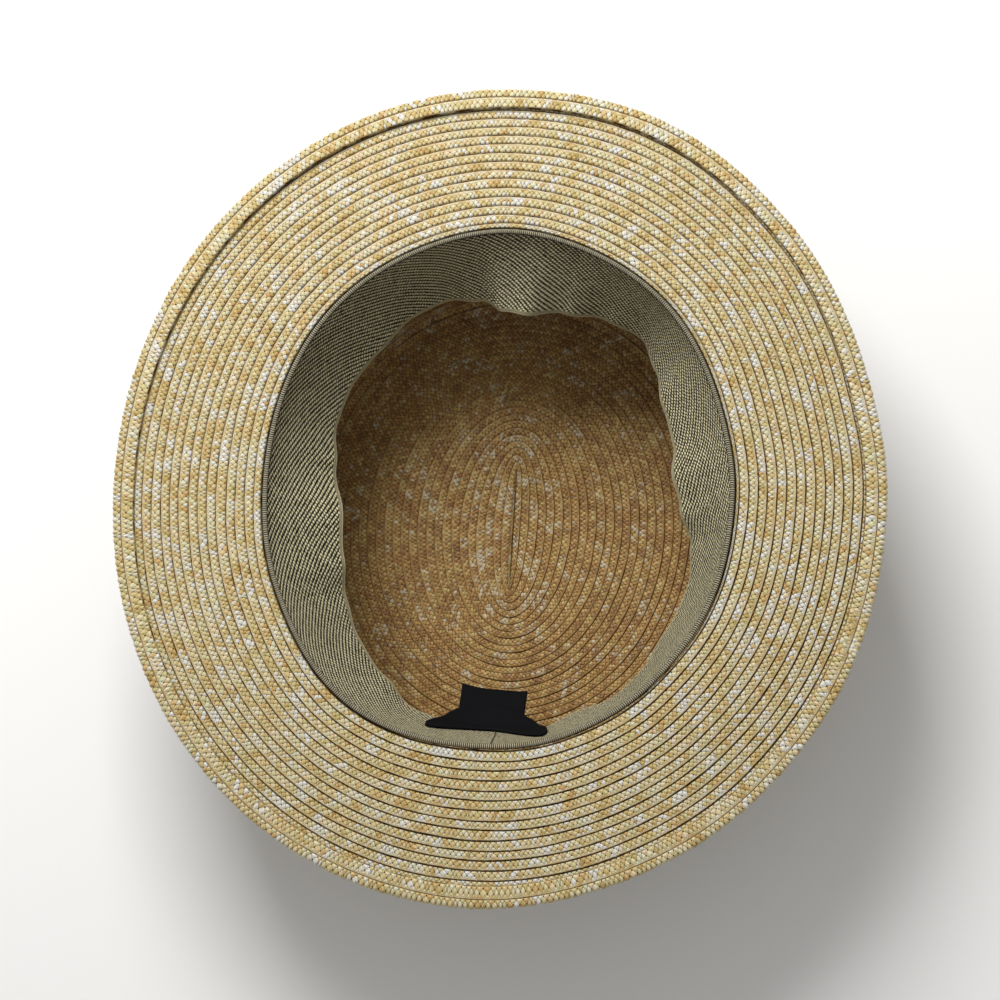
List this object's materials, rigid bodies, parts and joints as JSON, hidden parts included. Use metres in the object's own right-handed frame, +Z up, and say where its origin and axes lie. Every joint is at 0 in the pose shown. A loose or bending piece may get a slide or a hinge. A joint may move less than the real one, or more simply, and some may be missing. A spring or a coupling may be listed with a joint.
{
  "type": "straw boater hat",
  "caption": "Braided straw boater hat with a flat crown, a level brim, a woven sweatband and a plain ribbon, lying on its crown.",
  "frame": {"origin": "on the surface under the middle of the brim's outline, at the outer face of the flat crown tip that the hat lies on", "axes": "+Z up out of the head opening, +Y towards the front of the hat, +X towards the side at the right of the picture"},
  "size_m": [0.2932, 0.3152, 0.0873],
  "materials": {
    "brim_straw": "sewn wheat-straw braid, satin",
    "crown_straw": "sewn wheat-straw braid, satin",
    "edge_straw": "sewn wheat-straw braid, satin",
    "twill": "olive woven twill tape, matte",
    "overlock_thread": "tan overlocked thread, matte",
    "black_label": "black damask-woven label, low sheen",
    "black_grosgrain": "ribbed black ribbon, low sheen"
  },
  "bodies": {
    "root": {"crown": "crown_straw", "brim": "brim_straw", "brim_edge": "edge_straw", "sweatband": "twill", "sweatband_cord": "overlock_thread", "maker_label": "black_label", "size_tab": "black_label", "hat_ribbon": "black_grosgrain"}
  },
  "joints": []
}
